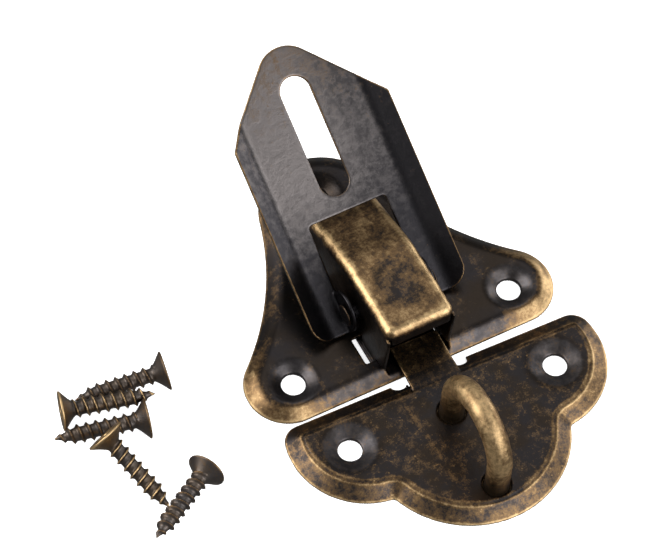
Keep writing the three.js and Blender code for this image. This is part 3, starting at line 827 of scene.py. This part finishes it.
def screws():
    piece = screw_piece()
    pz = piece.vertices[:, 2]
    crest = ramp(piece.convex, 0.9, 2.6)
    head = ramp(pz, -SCREW["head"], -0.1)
    for name, (spin, worn) in SCREW_LOOKS.items():
        face, axis = lie_of(name)
        upright = Vector((0, 0, 1)).rotation_difference(axis).to_matrix().to_4x4()
        place = Matrix.Translation(face) @ upright @ Matrix.Rotation(math.radians(spin), 4, "Z")
        relief = 0.1 + crest * (0.22 + 0.8 * worn) + head * 0.6 * worn
        made = piece.object(name + "_threaded", place, relief, 0.3 * (1 - worn))
        finish_piece(made, "loose_screws", "screw_bronze", MATERIALS["screw"], name)


# ---------------------------------------------------------------- finishes


class Nodes:
    """Shorthand for building a material's node tree."""

    def __init__(self, name):
        self.material = bpy.data.materials.new(name)
        self.material.use_nodes = True
        self.tree = self.material.node_tree
        self.shader = self.tree.nodes["Principled BSDF"]

    def link(self, value, socket):
        if isinstance(value, bpy.types.NodeSocket):
            self.tree.links.new(value, socket)
        else:
            socket.default_value = value

    def math(self, operation, a, b=0.0, c=0.0):
        made = self.tree.nodes.new("ShaderNodeMath")
        made.operation = operation
        for value, socket in zip((a, b, c), made.inputs):
            self.link(value, socket)
        return made.outputs[0]

    def noise(self, size_mm, detail=4.0, roughness=0.55, stretch=None, offset=0.0):
        """Noise whose largest patches are about size_mm across."""
        place = self.tree.nodes.new("ShaderNodeTexCoord").outputs["Object"]
        mapping = self.tree.nodes.new("ShaderNodeMapping")
        mapping.inputs["Location"].default_value = (offset, offset, offset)
        if stretch:
            angle, squeeze = stretch
            mapping.inputs["Rotation"].default_value = (0, 0, math.radians(angle))
            mapping.inputs["Scale"].default_value = (1, squeeze, 1)
        self.tree.links.new(place, mapping.inputs["Vector"])
        made = self.tree.nodes.new("ShaderNodeTexNoise")
        made.inputs["Scale"].default_value = 1 / (size_mm * MM)
        made.inputs["Detail"].default_value = detail
        made.inputs["Roughness"].default_value = roughness
        self.tree.links.new(mapping.outputs["Vector"], made.inputs["Vector"])
        return made.outputs["Fac"]

    def smooth(self, value, low, high, to_low=0.0, to_high=1.0):
        made = self.tree.nodes.new("ShaderNodeMapRange")
        made.interpolation_type = "SMOOTHSTEP"
        for index, amount in enumerate((value, low, high, to_low, to_high)):
            self.link(amount, made.inputs[index])
        return made.outputs["Result"]

    def colour(self, factor, first, second):
        made = self.tree.nodes.new("ShaderNodeMix")
        made.data_type = "RGBA"
        self.link(factor, made.inputs["Factor"])
        self.link(first, made.inputs[6])
        self.link(second, made.inputs[7])
        return made.outputs[2]

    def painted(self, label):
        """An amount that the mesh holds at each vertex."""
        made = self.tree.nodes.new("ShaderNodeAttribute")
        made.attribute_name = label
        return made.outputs["Fac"]


def patina(name, dark, warm, grey, breakup, rough_dark, rough_brass, grain=1.0, flecks=0.25):
    """Darkened bronze rubbed through to brass: the more relief, the more of the brass shows; greyed by
    the mesh's grey tone, which is in places a painted sheen.
    """
    n = Nodes(name)
    mottle = n.smooth(n.noise(2.6 * grain, 8.0, 0.66), 0.33, 0.67, -0.5, 0.5)
    speckle = n.smooth(n.noise(0.5 * grain, 5.0, 0.7, offset=3.0), 0.33, 0.67, -0.5, 0.5)
    cloud = n.noise(7.0 * grain, 3.0, 0.5, offset=7.0)
    worn = n.math("MULTIPLY_ADD", mottle, breakup, n.painted("relief"))
    worn = n.math("MULTIPLY_ADD", speckle, breakup * 0.7, worn)
    fleck = n.smooth(n.noise(0.45, 2.0, 0.5, offset=19.0), 0.66, 0.76)
    worn = n.math("MULTIPLY_ADD", fleck, flecks, worn)
    for angle in (24, -52):
        streak = n.smooth(n.noise(1.6, 2.0, 0.5, stretch=(angle, 0.05), offset=angle), 0.62, 0.76)
        worn = n.math("MULTIPLY_ADD", streak, flecks * 0.5, worn)
    olive = n.smooth(worn, 0.08, 0.6)
    gold = n.smooth(worn, 0.45, 1.15)
    # The grey blend follows the mesh's grey tone, in places a painted sheen.
    grey_and_sheen_blend = n.math("MULTIPLY_ADD", mottle, 0.25, n.painted("grey_and_sheen"))
    base = n.colour(n.smooth(cloud, 0.35, 0.65), dark, warm)
    base = n.colour(n.smooth(grey_and_sheen_blend, 0.0, 1.0), base, grey)
    base = n.colour(olive, base, OLIVE)
    base = n.colour(gold, base, GOLD)
    n.link(base, n.shader.inputs["Base Color"])
    n.shader.inputs["Metallic"].default_value = 1.0
    rough = n.smooth(worn, 0.3, 0.9, rough_dark, rough_brass)
    rough = n.math("MULTIPLY_ADD", speckle, 0.08, rough)
    n.link(rough, n.shader.inputs["Roughness"])
    bump = n.tree.nodes.new("ShaderNodeBump")
    bump.inputs["Strength"].default_value = 0.5
    bump.inputs["Distance"].default_value = 0.02 * MM
    height = n.math("MULTIPLY_ADD", n.noise(0.25, 3.0, 0.6, offset=11.0), 0.8, mottle)
    n.link(height, bump.inputs["Height"])
    n.link(bump.outputs["Normal"], n.shader.inputs["Normal"])
    return n.material


def rgb(red, green, blue):
    return (red, green, blue, 1.0)


GREY_BLACK = rgb(0.040, 0.036, 0.037)
BROWN_BLACK = rgb(0.044, 0.034, 0.027)
BLUE_BLACK = rgb(0.040, 0.038, 0.042)
# The next two greys are what the grey tone blends to; on the plates' bevels and dimples and all over
# the leaf that grey is a painted sheen.
SLATE_GREY_AND_SHEEN = rgb(0.185, 0.175, 0.185)
LEAF_SHEEN_ASH = rgb(0.27, 0.245, 0.240)
UMBER = rgb(0.16, 0.11, 0.06)
GOLD = rgb(0.80, 0.56, 0.29)
OLIVE = rgb(0.225, 0.139, 0.068)
SCREW_GREY = rgb(0.115, 0.102, 0.095)
SCREW_BROWN = rgb(0.165, 0.128, 0.098)

# The numbers are patina's breakup, the two roughnesses, the grain's size and the flecks.
MATERIALS = {
    "plate": patina("plate_patina", GREY_BLACK, BROWN_BLACK, SLATE_GREY_AND_SHEEN, 0.34, 0.34, 0.42),
    "scalloped": patina("scalloped_patina", GREY_BLACK, BROWN_BLACK, SLATE_GREY_AND_SHEEN, 0.4, 0.38, 0.44, 0.5, 0.35),
    "brass": patina("housing_brass", GREY_BLACK, BROWN_BLACK, SLATE_GREY_AND_SHEEN, 0.42, 0.38, 0.42, 0.9),
    "wire": patina("staple_brass", BROWN_BLACK, UMBER, SLATE_GREY_AND_SHEEN, 0.36, 0.42, 0.48),
    "dark": patina("leaf_patina", BLUE_BLACK, BLUE_BLACK, LEAF_SHEEN_ASH, 0.22, 0.35, 0.42, 0.45),
    "screw": patina("screw_patina", SCREW_GREY, SCREW_BROWN, SLATE_GREY_AND_SHEEN, 0.3, 0.44, 0.38, 0.5),
}

# ---------------------------------------------------------------- floor, lights and camera


FLOOR_WHITE = rgb(0.85, 0.85, 0.85)
FLOOR_GAP = 0.02                 # mm under the object
LIGHTS_AIM = Vector((0, 0.01, 0))


def plain(name, colour, glow):
    """A matt finish with a glow of its own."""
    material = bpy.data.materials.new(name)
    material.use_nodes = True
    shader = material.node_tree.nodes["Principled BSDF"]
    shader.inputs["Base Color"].default_value = colour
    shader.inputs["Roughness"].default_value = 0.9
    shader.inputs["Specular IOR Level"].default_value = 0.0
    shader.inputs["Emission Color"].default_value = rgb(1, 1, 1)
    shader.inputs["Emission Strength"].default_value = glow
    return material


def stage_mesh(name, vertices, faces, material):
    """Part of the stage, not of the object, that the object doesn't mirror."""
    mesh = bpy.data.meshes.new(name)
    mesh.from_pydata(vertices, [], faces)
    mesh.materials.append(material)
    made = bpy.data.objects.new(name, mesh)
    bpy.context.scene.collection.objects.link(made)
    made.visible_glossy = False


def studio_floor(half=6.0):
    """A pale floor under the object's lowest point, with pale walls far round it."""
    level = cad_bounds[0][2] - FLOOR_GAP * MM
    white = plain("floor_white", FLOOR_WHITE, 0.8)
    ring = [(-half, -half), (half, -half), (half, half), (-half, half)]
    corners = [(x, y, z) for z in (level, half) for x, y in ring]
    stage_mesh("floor", corners[:4], [(0, 1, 2, 3)], white)
    walls = [(i, i + 4, (i + 1) % 4 + 4, (i + 1) % 4) for i in range(4)]
    stage_mesh("walls", corners, walls, plain("wall_white", FLOOR_WHITE, 1.0))


def softbox(name, direction, distance, size, power, colour=(1, 1, 1)):
    """A square light that faces the object from a direction."""
    light = bpy.data.lights.new(name, "AREA")
    light.shape = "RECTANGLE"
    light.size, light.size_y = size
    light.energy = power
    light.color = colour
    made = bpy.data.objects.new(name, light)
    bpy.context.scene.collection.objects.link(made)
    aim = Vector(direction).normalized()
    made.location = LIGHTS_AIM + aim * distance
    made.rotation_euler = aim.to_track_quat("Z", "Y").to_euler()


def studio_lights():
    softbox("front", (0.36, -0.8, 0.56), 0.5, (0.52, 0.42), 1.7)
    softbox("left_back", (-0.74, 0.43, 0.56), 0.5, (0.46, 0.4), 1.9, (1.0, 0.98, 0.95))
    softbox("right_low", (1.0, 0.05, 0.15), 0.55, (0.5, 0.24), 1.0)
    softbox("overhead", (0.25, 0.35, 0.9), 0.6, (0.4, 0.4), 0.42)
    world = bpy.data.worlds.new("studio")
    world.use_nodes = True
    background = world.node_tree.nodes["Background"]
    background.inputs["Color"].default_value = rgb(1, 1, 1)
    background.inputs["Strength"].default_value = 0.19
    bpy.context.scene.world = world


CAMERA = {
    "azimuth": -33.06, "elevation": 58.85, "roll": -5.68, "distance": 700.0,
    "aim": (-3.97, 20.36, 0),
}
FOCAL_PIXELS = 4736.4            # focal length over the frame's width of 660
FRAME_WIDTH = 660.0


def camera():
    azimuth = math.radians(CAMERA["azimuth"])
    elevation = math.radians(CAMERA["elevation"])
    roll = math.radians(CAMERA["roll"])
    level = math.cos(elevation)
    back = Vector((math.sin(azimuth) * level, -math.cos(azimuth) * level, math.sin(elevation)))
    right = Vector((math.cos(azimuth), math.sin(azimuth), 0))
    up = back.cross(right)
    across = right * math.cos(roll) - up * math.sin(roll)
    upward = right * math.sin(roll) + up * math.cos(roll)
    data = bpy.data.cameras.new("camera")
    data.sensor_width = 36.0
    data.lens = FOCAL_PIXELS / FRAME_WIDTH * data.sensor_width
    data.clip_start = 0.01
    made = bpy.data.objects.new("camera", data)
    bpy.context.scene.collection.objects.link(made)
    turned = Matrix((across, upward, back)).transposed().to_4x4()
    place = (Vector(CAMERA["aim"]) + back * CAMERA["distance"]) * MM
    made.matrix_world = Matrix.Translation(place) @ turned
    bpy.context.scene.camera = made


camera()
studio_lights()
studio_floor()
base_plate()
staple_plate()
housing()
leaf()
hinge_pin()
staple()
screws()
bpy.context.scene.view_settings.view_transform = "Standard"
